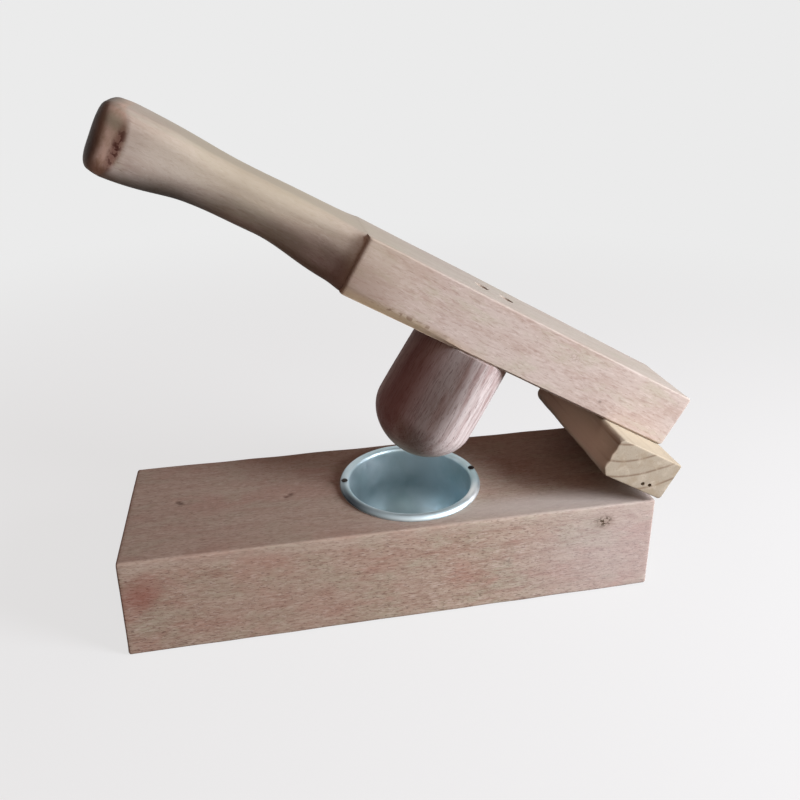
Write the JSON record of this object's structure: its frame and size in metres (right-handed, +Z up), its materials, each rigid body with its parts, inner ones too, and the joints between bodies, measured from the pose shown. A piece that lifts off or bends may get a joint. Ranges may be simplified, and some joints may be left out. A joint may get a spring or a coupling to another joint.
{
  "type": "pastry mold",
  "caption": "Wooden lever press for pastry cups: a hardwood block with an aluminium cup let into it, and a hinged carved lever that pushes a round-nosed plunger into the cup.",
  "frame": {"origin": "centre of the base block's underside", "axes": "+Z up, +X along the block towards the hinge end, +Y across it, away from the picture's viewpoint"},
  "size_m": [0.2912, 0.091, 0.2513],
  "materials": {
    "base_wood": "planed hardwood, worn and unvarnished",
    "lever_wood": "carved pale hardwood, smooth from use",
    "plunger_wood": "turned reddish hardwood",
    "riser_pine": "sawn pine",
    "cup_aluminium": "pressed sheet, satin",
    "hinge_steel": "zinc-plated",
    "screw_steel": "zinc-plated",
    "nail_steel": "plain wire nail, dulled"
  },
  "bodies": {
    "base": {"base_block": "base_wood", "mold_cup": "cup_aluminium", "cup_nail_left": "nail_steel", "cup_nail_right": "nail_steel", "hinge_leaf_base": "hinge_steel", "hinge_pin": "hinge_steel", "base_leaf_screw_1": "screw_steel", "base_leaf_screw_2": "screw_steel", "base_leaf_screw_3": "screw_steel"},
    "lever_arm": {"lever": "lever_wood", "plunger": "plunger_wood", "plunger_screw_front": "screw_steel", "plunger_screw_rear": "screw_steel", "riser_block": "riser_pine", "riser_screw_near": "screw_steel", "riser_screw_far": "screw_steel", "hinge_leaf_lever": "hinge_steel", "lever_leaf_screw_1": "screw_steel", "lever_leaf_screw_2": "screw_steel", "lever_leaf_screw_3": "screw_steel"}
  },
  "joints": [
    {"name": "lever_hinge", "type": "hinge", "parent": "base", "child": "lever_arm", "pos_m": [0.13595, 0, 0.052], "axis": [0, 1, 0], "range_deg": [-29.5, 150]}
  ]
}
